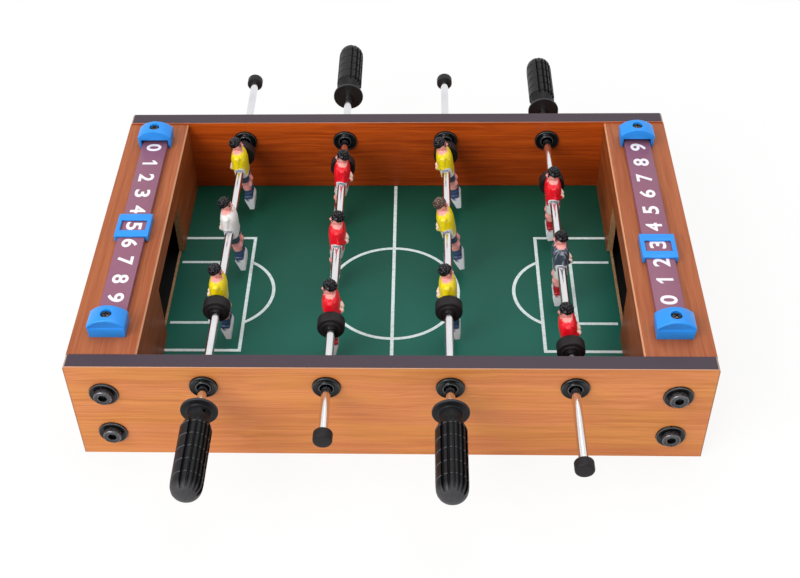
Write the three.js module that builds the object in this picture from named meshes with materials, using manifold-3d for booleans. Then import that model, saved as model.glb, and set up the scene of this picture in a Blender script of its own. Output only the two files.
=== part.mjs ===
// A small tabletop foosball table: a laminated cabinet with four sliding, turning rods,
// twelve players, and a sliding score counter on the top of each end.
// Millimetres. X runs along the table, Y from the near long side to the far one, Z up.
import * as THREE from 'three';
import { mergeVertices } from 'three/addons/utils/BufferGeometryUtils.js';
import Module from 'manifold-3d';

const wasm = await Module();
wasm.setup();

// Clearances
const fitGap = 0.3;
const runningGap = 0.45;
const overrun = 2;

// Playfield and rods
const fieldHeight = 18;
const fieldThickness = 3.6;
const footReach = 32.4;
const footClearance = 5.8;
const rimAboveRod = 14.8;
const rodSpacing = 65.8;
const rodCount = 4;
const rodDiameter = 5;

// Cabinet
const cabinetWidth = 225;
const boardThickness = 9;
const panelCornerRadius = 2;
const grooveDepth = 3;
const endBoxDepth = 38;
const wallToRod = 35.8;
const endTopDrop = 1.2;

// End boxes: frame, cover and goal
const coverThickness = 3.6;
const coverFoldChamfer = 0.8;
const endBoardThickness = 9;
const cornerBlockLength = 20;
const cornerBlockWidth = 24;
const pocketFloorThickness = 4;
const goalWidth = 75;
const goalHeight = 37.5;

// Bolts
const lowerBoltHeight = 17.9;
const boltPitch = 31.9;
const washerDiameter = 16;
const washerThickness = 1.3;
const boltHeadDiameter = 10.4;
const boltHeadHeight = 3.2;
const boltShankDiameter = 5.8;
const boltShankLength = 25;
const boltSocketAcrossFlats = 4;
const boltSocketDepth = 2;

// Rod bushings
const bushingFlangeDiameter = 15.5;
const bushingFlangeThickness = 1.2;
const bushingFlangeChamfer = 0.7;
const bushingBarrelDiameter = 9.4;
const bushingDishDepth = 0.6;

// Bumpers and end caps of rubber
const bumperDiameter = 15.5;
const bumperLength = 7.6;
const bumperEdge = 1.3;
const bumperCollarDiameter = 8.6;
const bumperCollarLength = 0.9;
const capDiameter = 10.3;
const capLength = 5.9;
const capEdge = 0.7;
const capWall = 1.4;
const capDishDiameter = 6.4;
const capDishDepth = 0.4;
const capRoom = 9.6;

// Handles
const handleLength = 57;
const handleRoom = 7.5;
const handleFlangeDiameter = 20;
const handleFlangeThickness = 1.6;
const handleFlangeEdge = 0.5;
const handleNeckDiameter = 12.4;
const handleNeckLength = 7.4;
const handleShoulderLength = 4.6;
const gripDiameter = 16.6;
const gripDomeLength = 7.5;
const gripBoreDepth = 48;
const fluteWidth = 1.3;
const fluteDepth = 1.2;
const flutePitch = 2.5;
const fluteCount = 6;
const fluteStart = 9.5;
const fluteEnd = 49.5;
const handleScrewHoleDiameter = 2.4;
const handleScrewHolePlace = 4.6;

// Players
const playerSpacing = 59;
const playersPerRod = 3;
const hubWidth = 18.2;
const chestDepth = 11.6;
const hemDrop = 4.6;
const shoulderHeight = 12.9;
const crownHeight = 21.8;
const headDepth = 7.8;
const headWidth = 7.4;
const armholeRadius = 3.7;
const armholeDepth = 1.1;
const shortsDepth = 8.2;
const shortsWidth = 15.8;
const shortsDrop = 9.6;
const legDepth = 6.2;
const legWidth = 5.8;
const legSpacing = 6.2;
const footWidth = 12.4;
const toeDepth = 3.8;
const toeTopLean = 1.1;
const toeTopDrop = 25.6;
const instepDrop = 21.2;
const instepLength = 5;
const heelDepth = 1.4;
const heelDrop = 24;
const soleLength = 3.2;
const armDiameter = 3;
const handDiameter = 3.4;
const handSpacing = 3.6;
const handHeight = 0.6;
const elbowHeight = 9.6;

// Score rails and sliders
const railFromEnd = 20.2;
const railEndMargin = 13.5;
const stripWidth = 16;
const stripThickness = 3;
const clampLength = 12;
const clampWidth = 21;
const clampSideHeight = 7.9;
const clampArchHeight = 12.6;
const railScrewDiameter = 5.9;
const railScrewHeadHeight = 1.4;
const railScrewSink = 0.8;
const railScrewShank = 2.6;
const railScrewLength = 17;
const sliderLength = 20.2;
const sliderWidth = 20;
const sliderHeight = 4.6;
const sliderWindowLength = 8.8;
const sliderWindowWidth = 15.2;

// How the rods and sliders stand: each one's place as a share of its travel to either
// side, how far each player swings its feet forward, from the far one of a rod to the
// near one, and each handle's roll
const rodSlideShares = [0.7, 0.2, 0.7, -0.477];
const sliderPlaceShares = [-0.031, -0.296];
const playerKickDegrees = [[5, 5.5, 1], [3, 1.5, -3], [12, 13.5, 6], [-4, -4, -10]];
const handleRollDegrees = [38, 63, 194, 38.5];

// Sizes worked out from the values above
const rodHeight = fieldHeight + footReach + footClearance;
const cabinetHeight = rodHeight + rimAboveRod;
const cabinetLength = 2 * (endBoxDepth + wallToRod) + (rodCount - 1) * rodSpacing;
const halfLength = cabinetLength / 2;
const halfWidth = cabinetWidth / 2;
const innerHalfWidth = halfWidth - boardThickness;
const goalWallX = halfLength - endBoxDepth;
const endTopHeight = cabinetHeight - endTopDrop;
const endFrameTop = endTopHeight - coverThickness - fitGap;
const fieldHalfLength = goalWallX + coverThickness;
const fieldHalfWidth = innerHalfWidth + grooveDepth - fitGap;
const boltX = halfLength - endBoardThickness - cornerBlockLength / 2;
const boltHeights = [lowerBoltHeight, lowerBoltHeight + boltPitch];
const rodRadius = rodDiameter / 2;
const bushingProud = fitGap + bushingFlangeThickness;
const outerPlayer = playerSpacing * (playersPerRod - 1) / 2;
const bumperInner = outerPlayer + hubWidth / 2 + fitGap;
const bumperOuter = bumperInner + bumperLength;
const rodTravel = innerHalfWidth - bushingProud - bumperOuter;
const handlePlace = halfWidth + bushingProud + rodTravel + handleRoom;
const capPlace = halfWidth + bushingProud + rodTravel + capRoom;
const rodTip = capPlace + capLength - capWall - fitGap;
const railHalfLength = innerHalfWidth - railEndMargin;
const clampMiddle = railHalfLength - clampLength / 2;
const sliderTravel = railHalfLength - clampLength - sliderLength / 2 - fitGap;

// The origin lies under the middle of the whole object, handles included
const handleTips = rodSlideShares.map((share, i) => {
  const side = i % 2 === 0 ? -1 : 1;
  return share * rodTravel + side * (handlePlace + handleLength);
});
const middleY = (Math.min(...handleTips) + Math.max(...handleTips)) / 2;

// Solids

function solidOf(geometry) {
  const bare = geometry.index ? geometry.toNonIndexed() : geometry.clone();
  bare.deleteAttribute('normal');
  bare.deleteAttribute('uv');
  const merged = mergeVertices(bare, 1e-5);
  return new wasm.Manifold(new wasm.Mesh({
    numProp: 3,
    vertProperties: new Float32Array(merged.attributes.position.array),
    triVerts: new Uint32Array(merged.index.array),
  }));
}

function geometryOf(solid) {
  const mesh = solid.getMesh();
  const geometry = new THREE.BufferGeometry();
  geometry.setAttribute('position', new THREE.BufferAttribute(mesh.vertProperties, 3));
  geometry.setIndex(new THREE.BufferAttribute(mesh.triVerts, 1));
  geometry.computeVertexNormals();
  return geometry;
}

function box([x0, x1], [y0, y1], [z0, z1]) {
  const geometry = new THREE.BoxGeometry(x1 - x0, y1 - y0, z1 - z0);
  geometry.translate((x0 + x1) / 2, (y0 + y1) / 2, (z0 + z1) / 2);
  return solidOf(geometry);
}

// A body turned about the Y axis from [radius, y] points, which start and end on the axis
function turned(points, segments) {
  const profile = points.map(([radius, y]) => new THREE.Vector2(radius, y));
  return solidOf(new THREE.LatheGeometry(profile, segments));
}

// The same for a ring, whose points close on themselves
function ring(points, segments) {
  return turned([...points, points[0]], segments);
}

function rodAlongY(radius, y0, y1, segments) {
  return turned([[0, y0], [radius, y0], [radius, y1], [0, y1]], segments);
}

function mirroredAlongY(points) {
  return points.map(([radius, y]) => [radius, -y]).reverse();
}

function outline(points) {
  return new THREE.Shape(points.map(([x, y]) => new THREE.Vector2(x, y)));
}

// An outline in the XZ plane carried along Y
function profileAlongY(shape, y0, y1, curveSegments = 4) {
  const geometry = new THREE.ExtrudeGeometry(shape, { depth: y1 - y0, bevelEnabled: false, curveSegments });
  geometry.rotateX(Math.PI / 2);
  geometry.translate(0, y1, 0);
  return solidOf(geometry);
}

// An outline in the XY plane carried up Z
function profileUp(shape, z0, z1) {
  const geometry = new THREE.ExtrudeGeometry(shape, { depth: z1 - z0, bevelEnabled: false });
  geometry.translate(0, 0, z0);
  return solidOf(geometry);
}

// A closed skin through level ovals, listed from the lowest up, each with its height z,
// its middle x and y, its depth along X and its width along Y. The corner value squares
// the ovals off: 2 is an ellipse.
function lofted(ovals, sides, corner) {
  const positions = [];
  for (const { x, y, z, depth, width } of ovals) {
    for (let k = 0; k < sides; k += 1) {
      const angle = 2 * Math.PI * (k + 0.5) / sides;
      const c = Math.cos(angle);
      const s = Math.sin(angle);
      const across = Math.sign(c) * Math.abs(c) ** (2 / corner);
      const along = Math.sign(s) * Math.abs(s) ** (2 / corner);
      positions.push(x + across * depth / 2, y + along * width / 2, z);
    }
  }
  const index = [];
  for (let row = 0; row + 1 < ovals.length; row += 1) {
    for (let k = 0; k < sides; k += 1) {
      const a = row * sides + k;
      const b = row * sides + (k + 1) % sides;
      index.push(a, b, b + sides, a, b + sides, a + sides);
    }
  }
  const top = (ovals.length - 1) * sides;
  for (let k = 1; k + 1 < sides; k += 1) {
    index.push(0, k + 1, k);
    index.push(top, top + k, top + k + 1);
  }
  const geometry = new THREE.BufferGeometry();
  geometry.setAttribute('position', new THREE.Float32BufferAttribute(positions, 3));
  geometry.setIndex(index);
  return solidOf(geometry);
}

function joined(solids) {
  return solids.reduce((whole, solid) => whole.add(solid));
}

function cutBy(body, cutters) {
  return cutters.reduce((rest, cutter) => rest.subtract(cutter), body);
}

// Materials

function finish(color, roughness, metalness = 0) {
  return () => new THREE.MeshStandardMaterial({ color, roughness, metalness });
}

const laminate = finish(0xd98a52, 0.45);
const endLaminate = finish(0xc07a4e, 0.45);
const rawBoard = finish(0xa9805a, 0.85);
const fieldGreen = finish(0x205c48, 0.5);
const blackPlastic = finish(0x17181a, 0.45);
const blackRubber = finish(0x26262a, 0.8);
const blackSteel = finish(0x2b2c2f, 0.4, 0.7);
const chrome = finish(0xd6d8dc, 0.15, 1);
const bluePlastic = finish(0x2d8ceb, 0.4);
const railMauve = finish(0x96648a, 0.5);
const shirts = {
  yellow: finish(0xf2d418, 0.45),
  white: finish(0xe6e8ea, 0.45),
  red: finish(0xe22030, 0.45),
  grey: finish(0x5a6472, 0.45),
};

// Cabinet boards

function panelOutline() {
  const shape = new THREE.Shape();
  const r = panelCornerRadius;
  shape.moveTo(-halfLength, 0);
  shape.lineTo(halfLength, 0);
  shape.absarc(halfLength - r, cabinetHeight - r, r, 0, Math.PI / 2, false);
  shape.absarc(-halfLength + r, cabinetHeight - r, r, Math.PI / 2, Math.PI, false);
  shape.closePath();
  return shape;
}

function roundHole(x, z, radius) {
  const hole = new THREE.Path();
  hole.absarc(x, z, radius, 0, 2 * Math.PI, true);
  return hole;
}

function rodX(i) {
  return (i - (rodCount - 1) / 2) * rodSpacing;
}

// A long side panel, with its inner face at y = 0: holes for the bushings and the bolts,
// and a stopped groove for the edge of the playfield
function sidePanel() {
  const shape = panelOutline();
  for (let i = 0; i < rodCount; i += 1) {
    shape.holes.push(roundHole(rodX(i), rodHeight, bushingBarrelDiameter / 2 + runningGap));
  }
  for (const x of [-boltX, boltX]) {
    for (const z of boltHeights) {
      shape.holes.push(roundHole(x, z, boltShankDiameter / 2 + runningGap));
    }
  }
  const groove = box(
    [-fieldHalfLength - fitGap, fieldHalfLength + fitGap],
    [-grooveDepth, overrun],
    [fieldHeight - fieldThickness - fitGap, fieldHeight + fitGap],
  );
  return profileAlongY(shape, -boardThickness, 0).subtract(groove);
}

function playfield() {
  const y = fieldHalfWidth;
  return box([-fieldHalfLength, fieldHalfLength], [-y, y], [fieldHeight - fieldThickness, fieldHeight]);
}

// The frame of an end box, at the +X end: the end board and the two corner blocks that
// take the bolts, in one U, with the floor of the goal pocket between them
function endFrame() {
  const y = innerHalfWidth - fitGap;
  const back = halfLength - endBoardThickness;
  const front = back - cornerBlockLength;
  const inner = y - cornerBlockWidth;
  const plan = outline([
    [halfLength, -y], [halfLength, y], [front, y], [front, inner],
    [back, inner], [back, -inner], [front, -inner], [front, -y],
  ]);
  const floorTop = fieldHeight - fieldThickness - fitGap;
  const floor = box([goalWallX, back + overrun], [-y, y], [floorTop - pocketFloorThickness, floorTop]);
  return cutBy(profileUp(plan, 0, endFrameTop).add(floor), [...boltPilots(), ...railScrewHoles()]);
}

// The holes that the bolts' shanks enter from both long sides
function boltPilots() {
  const tip = halfWidth - boltShankLength - fitGap;
  const pilot = rodAlongY(boltShankDiameter / 2 + runningGap, tip, halfWidth, 8);
  const sunk = boltHeights.map((z) => pilot.translate([boltX, 0, z]));
  return [...sunk, ...sunk.map((hole) => hole.mirror([0, 1, 0]))];
}

// The holes of the two score rail screws, through an end cover and into the frame
function railScrewHoles() {
  const bottom = endTopHeight + clampArchHeight - railScrewLength - fitGap;
  const hole = rodAlongY(railScrewShank / 2 + runningGap, bottom, endTopHeight + overrun, 8);
  const upright = hole.rotate([90, 0, 0]);
  return [-clampMiddle, clampMiddle].map((y) => upright.translate([halfLength - railFromEnd, y, 0]));
}

// The folded cover of an end box, at the +X end: the top, the goal wall below its inner
// edge, and the goal cut in the wall down to the playfield
function goalCover() {
  const inner = goalWallX;
  const top = endTopHeight;
  const fold = coverFoldChamfer;
  const foot = fieldHeight + fitGap;
  const shape = outline([
    [inner, foot], [inner + coverThickness, foot], [inner + coverThickness, top - coverThickness],
    [halfLength, top - coverThickness], [halfLength, top], [inner + fold, top], [inner, top - fold],
  ]);
  const y = innerHalfWidth - fitGap;
  const goal = box(
    [inner - overrun, inner + coverThickness + overrun],
    [-goalWidth / 2, goalWidth / 2],
    [foot - overrun, fieldHeight + goalHeight],
  );
  return cutBy(profileAlongY(shape, -y, y), [goal, ...railScrewHoles()]);
}

// Fasteners and bushings of the near panel, whose outer face is at y = 0

function bolt() {
  const washer = washerDiameter / 2;
  const head = boltHeadDiameter / 2;
  const shank = boltShankDiameter / 2;
  const seat = -fitGap;
  const headFoot = seat - washerThickness;
  const headTop = headFoot - boltHeadHeight;
  const body = turned([
    [0, headTop], [head, headTop], [head, headFoot], [washer, headFoot], [washer, seat],
    [shank, seat], [shank, boltShankLength], [0, boltShankLength],
  ], 10);
  const socketRadius = boltSocketAcrossFlats / Math.sqrt(3);
  return body.subtract(rodAlongY(socketRadius, headTop - overrun, headTop + boltSocketDepth, 6));
}

// A bushing right through the panel, with a dished flange on either side
function bushing() {
  const flange = bushingFlangeDiameter / 2;
  const barrel = bushingBarrelDiameter / 2;
  const bore = rodRadius + runningGap;
  const near = boardThickness / 2 + fitGap;
  const far = near + bushingFlangeThickness;
  const side = [
    [barrel, near], [flange, near], [flange - bushingFlangeChamfer, far],
    [bore, far - bushingDishDepth],
  ];
  return ring([...side, ...mirroredAlongY(side)], 10).translate([0, boardThickness / 2, 0]);
}

// Rod fittings, in the rod's own frame: its axis is Y, its middle player is at y = 0,
// its handle is at -Y and its players face +X

function rodBar() {
  return rodAlongY(rodRadius, -handlePlace - gripBoreDepth + fitGap, rodTip, 12);
}

// The corners of the grip's dome, as shares of the grip's radius and of the dome's length
const gripDomeShares = [[0.82, 0.57], [0.46, 0.88]];

// The grip turned to its profile, with a blind bore for the rod. Its flutes are cut
// straight down from two opposite sides, as a mould draws, which leaves a smooth panel
// between them on either flank.
function handle() {
  const flange = handleFlangeDiameter / 2;
  const neck = handleNeckDiameter / 2;
  const grip = gripDiameter / 2;
  const bore = rodRadius + fitGap;
  const neckEnd = handleFlangeThickness + handleNeckLength;
  const domeStart = handleLength - gripDomeLength;
  const dome = gripDomeShares.map(([out, along]) => [grip * out, domeStart + gripDomeLength * along]);
  const profile = [
    [0, gripBoreDepth], [bore, gripBoreDepth], [bore, 0],
    [flange - handleFlangeEdge, 0], [flange, handleFlangeEdge], [flange, handleFlangeThickness],
    [neck, handleFlangeThickness], [neck, neckEnd], [grip, neckEnd + handleShoulderLength],
    [grip, domeStart], ...dome, [0, handleLength],
  ];
  const hole = rodAlongY(handleScrewHoleDiameter / 2, 0, flange, 6).rotate([90, 0, 0]);
  const body = turned(mirroredAlongY(profile), 16);
  return cutBy(body, [flutes(), hole.translate([0, -handleScrewHolePlace, 0])])
    .translate([0, -handlePlace, 0]);
}

function flutes() {
  const slots = [];
  for (let k = 0; k < fluteCount; k += 1) {
    const x = (k - (fluteCount - 1) / 2) * flutePitch;
    slots.push(box(
      [x - fluteWidth / 2, x + fluteWidth / 2],
      [-fluteEnd, -fluteStart],
      [-gripDiameter, gripDiameter],
    ));
  }
  const core = rodAlongY(gripDiameter / 2 - fluteDepth, -handleLength, 0, 16);
  return joined(slots).subtract(core);
}

function endCap() {
  const r = capDiameter / 2;
  const bore = rodRadius + runningGap;
  const outer = capPlace + capLength;
  return turned([
    [0, outer - capWall], [bore, outer - capWall], [bore, capPlace], [r, capPlace],
    [r, outer - capEdge], [r - capEdge, outer], [capDishDiameter / 2, outer],
    [0, outer - capDishDepth],
  ], 10);
}

// The rubber bumper on the side away from the handle
function bumper() {
  const r = bumperDiameter / 2;
  const bore = rodRadius + fitGap;
  const collar = bumperCollarDiameter / 2;
  const shoulder = bumperOuter - bumperCollarLength;
  return ring([
    [bore, bumperInner], [r, bumperInner], [r, shoulder - bumperEdge], [r - bumperEdge, shoulder],
    [collar, shoulder], [collar, bumperOuter], [bore, bumperOuter],
  ], 10);
}

// A player's rounded parts. Each row of a table is one level oval, from the lowest up, as
// shares: of the height of the stretch, of its depth for the middle, of its depth, and of
// its width.
const shortsShares = [
  [0, 0.05, 0.95, 1],
  [1, 0, 0.95, 0.95],
];
const shirtShares = [
  [0, 0, 0.9, 0.92],
  [0.34, 0, 0.93, 1],
  [0.62, 0.04, 1, 0.94],
  [0.87, -0.02, 0.8, 0.88],
];
const headShares = [
  [0, -0.06, 0.6, 0.62],
  [0.36, 0.03, 0.8, 0.78],
  [0.64, 0.02, 1, 1],
  [0.87, -0.02, 0.8, 0.8],
  [1, -0.03, 0.3, 0.3],
];
const legShares = [
  [0, 0.26, 0.8, 0.9],
  [0.5, 0.25, 0.84, 0.86],
  [1, 0.16, 1, 1],
];

function stretch(shares, [z0, z1], depth, width, y = 0) {
  return shares.map(([level, middle, deep, wide]) => ({
    x: middle * depth,
    y,
    z: z0 + level * (z1 - z0),
    depth: deep * depth,
    width: wide * width,
  }));
}

// The foot block: the flat toe that strikes the ball, the instep that slopes down to it,
// and the cut-away heel
function foot() {
  const sole = -Math.sqrt(footReach ** 2 - toeDepth ** 2);
  const shape = outline([
    [toeDepth, sole], [toeDepth + toeTopLean, -toeTopDrop],
    [instepLength - heelDepth, -instepDrop], [-heelDepth, -instepDrop],
    [-heelDepth, -heelDrop], [toeDepth - soleLength, sole],
  ]);
  return profileAlongY(shape, -footWidth / 2, footWidth / 2);
}

// An arm reaches from the shoulder round to the hand behind the back
function arm(side) {
  const shoulder = new THREE.Vector3(0, side * (hubWidth - armDiameter) / 2, elbowHeight);
  const hand = new THREE.Vector3(-chestDepth / 2, side * handSpacing / 2, handHeight);
  const reach = new THREE.Vector3().subVectors(hand, shoulder);
  const limb = new THREE.CylinderGeometry(handDiameter / 2, armDiameter / 2, reach.length(), 4);
  const upright = new THREE.Vector3(0, 1, 0);
  limb.applyQuaternion(new THREE.Quaternion().setFromUnitVectors(upright, reach.normalize()));
  const middle = new THREE.Vector3().addVectors(shoulder, hand).multiplyScalar(0.5);
  limb.translate(middle.x, middle.y, middle.z);
  return solidOf(limb);
}

// The arch that the shirt's hem makes over the rod on one flank
function armhole() {
  const r = armholeRadius;
  const arch = outline([
    [-r, -hemDrop - overrun], [r, -hemDrop - overrun], [r, 0], [r / 2, r], [-r / 2, r], [-r, 0],
  ]);
  return profileAlongY(arch, hubWidth / 2 - armholeDepth, hubWidth / 2 + overrun);
}

function player() {
  const figure = lofted([
    ...stretch(shortsShares, [-shortsDrop, -hemDrop], shortsDepth, shortsWidth),
    ...stretch(shirtShares, [-hemDrop, shoulderHeight], chestDepth, hubWidth),
    ...stretch(headShares, [shoulderHeight, crownHeight], headDepth, headWidth),
  ], 8, 2.6);
  const legs = [-1, 1].map((side) => {
    const reach = [-heelDrop, -hemDrop];
    return lofted(stretch(legShares, reach, legDepth, legWidth, side * legSpacing / 2), 5, 2.4);
  });
  const dressed = cutBy(figure, [armhole(), armhole().mirror([0, 1, 0])]);
  const whole = joined([dressed, ...legs, foot(), arm(-1), arm(1)]);
  return whole.subtract(rodAlongY(rodRadius + fitGap, -hubWidth, hubWidth, 8));
}

// Score rail at an end: the strip, with the clamp caps and their screws in one piece

function clampOutline() {
  const half = clampWidth / 2;
  const rise = clampArchHeight - clampSideHeight;
  const radius = (half ** 2 + rise ** 2) / (2 * rise);
  const swing = Math.asin(half / radius);
  const shape = new THREE.Shape();
  shape.moveTo(-half, fitGap);
  shape.lineTo(half, fitGap);
  shape.absarc(0, clampArchHeight - radius, radius, Math.PI / 2 - swing, Math.PI / 2 + swing, false);
  shape.closePath();
  return shape;
}

function railScrew() {
  const head = railScrewDiameter / 2;
  const shank = railScrewShank / 2;
  const seat = clampArchHeight - railScrewSink;
  const top = seat + railScrewHeadHeight;
  const tip = clampArchHeight - railScrewLength;
  return turned([
    [0, tip], [shank, tip], [shank, seat], [head, seat],
    [head, top - railScrewHeadHeight / 2], [head - railScrewHeadHeight / 2, top], [0, top],
  ], 8).rotate([90, 0, 0]);
}

function scoreRail() {
  const half = stripWidth / 2;
  const strip = box([-half, half], [-clampMiddle, clampMiddle], [fitGap, fitGap + stripThickness]);
  const clamps = [-clampMiddle, clampMiddle].map((y) => {
    const clamp = profileAlongY(clampOutline(), y - clampLength / 2, y + clampLength / 2);
    return clamp.add(railScrew().translate([0, y, 0]));
  });
  return joined([strip, ...clamps]);
}

// A framed window that straddles the strip
function scoreSlider() {
  const x = sliderWidth / 2;
  const y = sliderLength / 2;
  const channel = stripWidth / 2 + fitGap;
  const ceiling = 2 * fitGap + stripThickness;
  const window = [sliderWindowWidth / 2, sliderWindowLength / 2];
  return cutBy(box([-x, x], [-y, y], [fitGap, sliderHeight]), [
    box([-channel, channel], [-y - overrun, y + overrun], [0, ceiling]),
    box([-window[0], window[0]], [-window[1], window[1]], [0, sliderHeight + overrun]),
  ]);
}

// Assembly

const table = new THREE.Group();
table.position.y = -middleY;

// Meshes turned half round serve the opposite side; a roll is about the rod
function place(parent, name, geometry, material, position = [0, 0, 0], turn = 0, roll = 0) {
  const mesh = new THREE.Mesh(geometry, material());
  mesh.name = name;
  mesh.position.set(...position);
  mesh.rotation.set(0, roll, turn);
  parent.add(mesh);
}

const longSides = [
  { name: 'front', side: -1, turn: 0 },
  { name: 'back', side: 1, turn: Math.PI },
];
const ends = [
  { name: 'left', side: -1, turn: Math.PI },
  { name: 'right', side: 1, turn: 0 },
];

const panelGeometry = geometryOf(sidePanel());
const boltGeometry = geometryOf(bolt());
const bushingGeometry = geometryOf(bushing());
for (const { name, side, turn } of longSides) {
  place(table, `${name}_panel`, panelGeometry, laminate, [0, side * innerHalfWidth, 0], turn);
  for (const end of ends) {
    boltHeights.forEach((z, k) => {
      const boltName = `bolt_${name}_${end.name}_${k === 0 ? 'lower' : 'upper'}`;
      place(table, boltName, boltGeometry, blackSteel, [end.side * boltX, side * halfWidth, z], turn);
    });
  }
  for (let i = 0; i < rodCount; i += 1) {
    const spot = [rodX(i), side * halfWidth, rodHeight];
    place(table, `bushing_${name}_${i + 1}`, bushingGeometry, blackPlastic, spot, turn);
  }
}

place(table, 'playfield_board', geometryOf(playfield()), fieldGreen);

const frameGeometry = geometryOf(endFrame());
const coverGeometry = geometryOf(goalCover());
const railGeometry = geometryOf(scoreRail());
const sliderGeometry = geometryOf(scoreSlider());
ends.forEach(({ name, side, turn }, k) => {
  const railX = side * (halfLength - railFromEnd);
  place(table, `end_frame_${name}`, frameGeometry, rawBoard, [0, 0, 0], turn);
  place(table, `goal_cover_${name}`, coverGeometry, endLaminate, [0, 0, 0], turn);
  place(table, `score_rail_${name}`, railGeometry, railMauve, [railX, 0, endTopHeight], turn);
  const spot = [railX, sliderPlaceShares[k] * sliderTravel, endTopHeight];
  place(table, `score_slider_${name}`, sliderGeometry, bluePlastic, spot);
});

const rodGeometry = geometryOf(rodBar());
const handleGeometry = geometryOf(handle());
const capGeometry = geometryOf(endCap());
const playerGeometry = geometryOf(player());
const farBumperGeometry = geometryOf(bumper());
const nearBumperGeometry = geometryOf(bumper().mirror([0, 1, 0]));
const teams = [
  ['yellow', 'white', 'yellow'],
  ['red', 'red', 'red'],
  ['yellow', 'yellow', 'yellow'],
  ['red', 'grey', 'red'],
];

teams.forEach((team, i) => {
  const reversed = i % 2 === 1;
  const turn = reversed ? Math.PI : 0;
  const roll = THREE.MathUtils.degToRad(handleRollDegrees[i]);
  const rod = new THREE.Group();
  rod.position.set(rodX(i), rodSlideShares[i] * rodTravel, rodHeight);
  table.add(rod);
  const label = `rod_${i + 1}`;
  place(rod, `${label}_bar`, rodGeometry, chrome, [0, 0, 0], turn);
  place(rod, `${label}_handle`, handleGeometry, blackPlastic, [0, 0, 0], turn, roll);
  place(rod, `${label}_end_cap`, capGeometry, blackRubber, [0, 0, 0], turn);
  place(rod, `${label}_bumper_by_handle`, nearBumperGeometry, blackRubber, [0, 0, 0], turn);
  place(rod, `${label}_bumper_by_cap`, farBumperGeometry, blackRubber, [0, 0, 0], turn);
  team.forEach((shirt, k) => {
    const spot = [0, ((playersPerRod - 1) / 2 - k) * playerSpacing, 0];
    const kick = THREE.MathUtils.degToRad(playerKickDegrees[i][k]);
    const tilt = reversed ? kick : -kick;
    place(rod, `${label}_player_${k + 1}_${shirt}`, playerGeometry, shirts[shirt], spot, turn, tilt);
  });
});

export default table;
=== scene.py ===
# A small tabletop foosball table: laminated cabinet, four rods with moulded players,
# and a sliding score counter on each end. Local sizes are in millimetres.
import math

import bmesh
import bpy
import numpy as np
from mathutils import Matrix, Vector

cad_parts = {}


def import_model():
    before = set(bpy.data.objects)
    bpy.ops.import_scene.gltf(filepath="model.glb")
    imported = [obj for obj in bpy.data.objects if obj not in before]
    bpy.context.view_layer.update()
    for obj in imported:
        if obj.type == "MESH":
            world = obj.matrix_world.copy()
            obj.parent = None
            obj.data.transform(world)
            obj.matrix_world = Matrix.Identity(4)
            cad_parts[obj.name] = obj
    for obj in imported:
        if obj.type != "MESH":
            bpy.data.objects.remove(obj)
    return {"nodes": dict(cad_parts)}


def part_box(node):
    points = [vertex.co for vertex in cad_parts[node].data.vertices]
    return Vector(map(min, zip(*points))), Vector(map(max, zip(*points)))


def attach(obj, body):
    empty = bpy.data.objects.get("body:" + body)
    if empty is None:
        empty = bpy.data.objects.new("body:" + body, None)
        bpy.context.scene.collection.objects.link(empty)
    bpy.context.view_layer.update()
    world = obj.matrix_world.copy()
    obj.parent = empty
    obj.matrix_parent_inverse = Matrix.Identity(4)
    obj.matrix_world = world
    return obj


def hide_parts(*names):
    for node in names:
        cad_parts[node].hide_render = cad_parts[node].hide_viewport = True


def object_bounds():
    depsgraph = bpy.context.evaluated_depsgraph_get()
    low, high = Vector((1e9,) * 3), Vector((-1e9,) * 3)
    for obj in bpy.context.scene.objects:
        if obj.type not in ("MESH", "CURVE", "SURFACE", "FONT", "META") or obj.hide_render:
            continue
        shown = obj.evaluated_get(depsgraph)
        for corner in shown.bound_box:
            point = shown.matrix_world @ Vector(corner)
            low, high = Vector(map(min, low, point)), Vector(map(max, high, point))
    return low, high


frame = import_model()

cad_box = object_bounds()
MM = 0.001

ENDS = {"left": -1, "right": 1}
LONG_SIDES = {"front": -1, "back": 1}
RODS = (1, 2, 3, 4)
TEAMS = {
    1: ("yellow", "white", "yellow"),
    2: ("red", "red", "red"),
    3: ("yellow", "yellow", "yellow"),
    4: ("red", "grey", "red"),
}
KICKS = {1: (5, 5.5, 1), 2: (3, 1.5, -3), 3: (12, 13.5, 6), 4: (-4, -4, -10)}
HANDLE_ROLLS = {1: 38, 2: 63, 3: 194, 4: 38.5}


def reversed_rod(n):
    """Rods 2 and 4 have their handle on the far side and their players facing -X."""
    return n % 2 == 0


# Colours and materials

def srgb(r, g, b):
    """A colour from 0-255 display values."""
    def linear(c):
        c /= 255
        return c / 12.92 if c <= 0.04045 else ((c + 0.055) / 1.055) ** 2.4
    return (linear(r), linear(g), linear(b), 1)


def shaded(color, share):
    """The colour times a share of its brightness."""
    return (*(c * share for c in color[:3]), 1)


class Tree:
    """The nodes of a material or a world, put together step by step."""

    def __init__(self, owner):
        owner.use_nodes = True
        self.nodes, self.links = owner.node_tree.nodes, owner.node_tree.links

    def feed(self, socket, value):
        if isinstance(value, bpy.types.NodeSocket):
            self.links.new(value, socket)
        else:
            socket.default_value = value

    def add(self, kind, inputs=(), **settings):
        node = self.nodes.new("ShaderNode" + kind)
        for key, value in settings.items():
            setattr(node, key, value)
        for key, value in dict(inputs).items():
            self.feed(node.inputs[key], value)
        return node

    def calc(self, operation, *values):
        return self.add("Math", enumerate(values), operation=operation).outputs[0]

    def plus(self, first, second):
        return self.calc("ADD", first, second)

    def times(self, first, second):
        return self.calc("MULTIPLY", first, second)

    def show(self, output, share, first, second):
        """A mix of two shaders as the tree's output."""
        both = self.add("MixShader", {0: share, 1: first.outputs[0], 2: second.outputs[0]})
        self.links.new(both.outputs[0], self.nodes[output].inputs["Surface"])


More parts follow.
